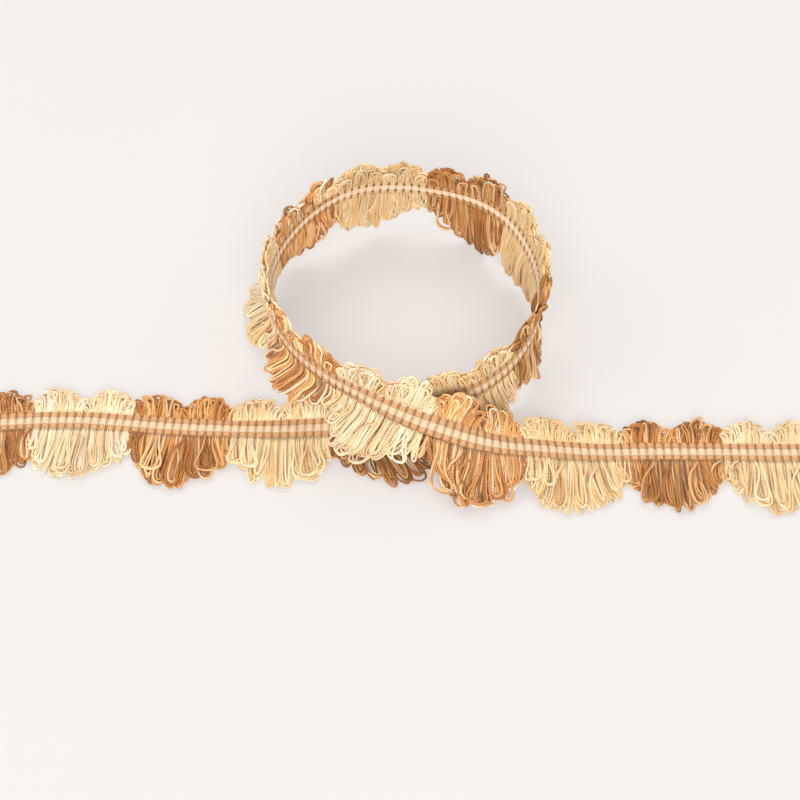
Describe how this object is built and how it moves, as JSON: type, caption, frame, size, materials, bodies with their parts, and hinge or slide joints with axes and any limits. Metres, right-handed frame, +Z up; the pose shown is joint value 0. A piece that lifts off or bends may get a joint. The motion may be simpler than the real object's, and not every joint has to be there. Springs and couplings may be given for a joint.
{
  "type": "fan edge trim",
  "caption": "Woven fan edge trim with looped yarn fans in cream and caramel, laid flat at both ends and standing in a crossed ring in the middle.",
  "frame": {"origin": "centre of the base, on the surface that the trim lies on", "axes": "+X to the right along the flat ends, +Y from the fans of the flat ends towards their scallops and on to the ring, +Z up"},
  "size_m": [0.3419, 0.1559, 0.0446],
  "materials": {
    "heading_yarn": "matt woven yarn",
    "cream_yarn": "matt looped yarn",
    "caramel_yarn": "matt looped yarn"
  },
  "bodies": {
    "root": {"heading": "heading_yarn", "fan_01": "caramel_yarn", "scallop_01": "caramel_yarn", "fan_02": "cream_yarn", "scallop_02": "cream_yarn", "fan_03": "caramel_yarn", "scallop_03": "caramel_yarn", "fan_04": "cream_yarn", "scallop_04": "cream_yarn", "fan_05": "caramel_yarn", "scallop_05": "caramel_yarn", "fan_06": "cream_yarn", "scallop_06": "cream_yarn", "fan_07": "caramel_yarn", "scallop_07": "caramel_yarn", "fan_08": "cream_yarn", "scallop_08": "cream_yarn", "fan_09": "caramel_yarn", "scallop_09": "caramel_yarn", "fan_10": "cream_yarn", "scallop_10": "cream_yarn", "fan_11": "caramel_yarn", "scallop_11": "caramel_yarn", "fan_12": "cream_yarn", "scallop_12": "cream_yarn", "fan_13": "caramel_yarn", "scallop_13": "caramel_yarn", "fan_14": "cream_yarn", "scallop_14": "cream_yarn", "fan_15": "caramel_yarn", "scallop_15": "caramel_yarn", "fan_16": "cream_yarn", "scallop_16": "cream_yarn", "fan_17": "caramel_yarn", "scallop_17": "caramel_yarn", "fan_18": "cream_yarn", "scallop_18": "cream_yarn"}
  },
  "joints": []
}
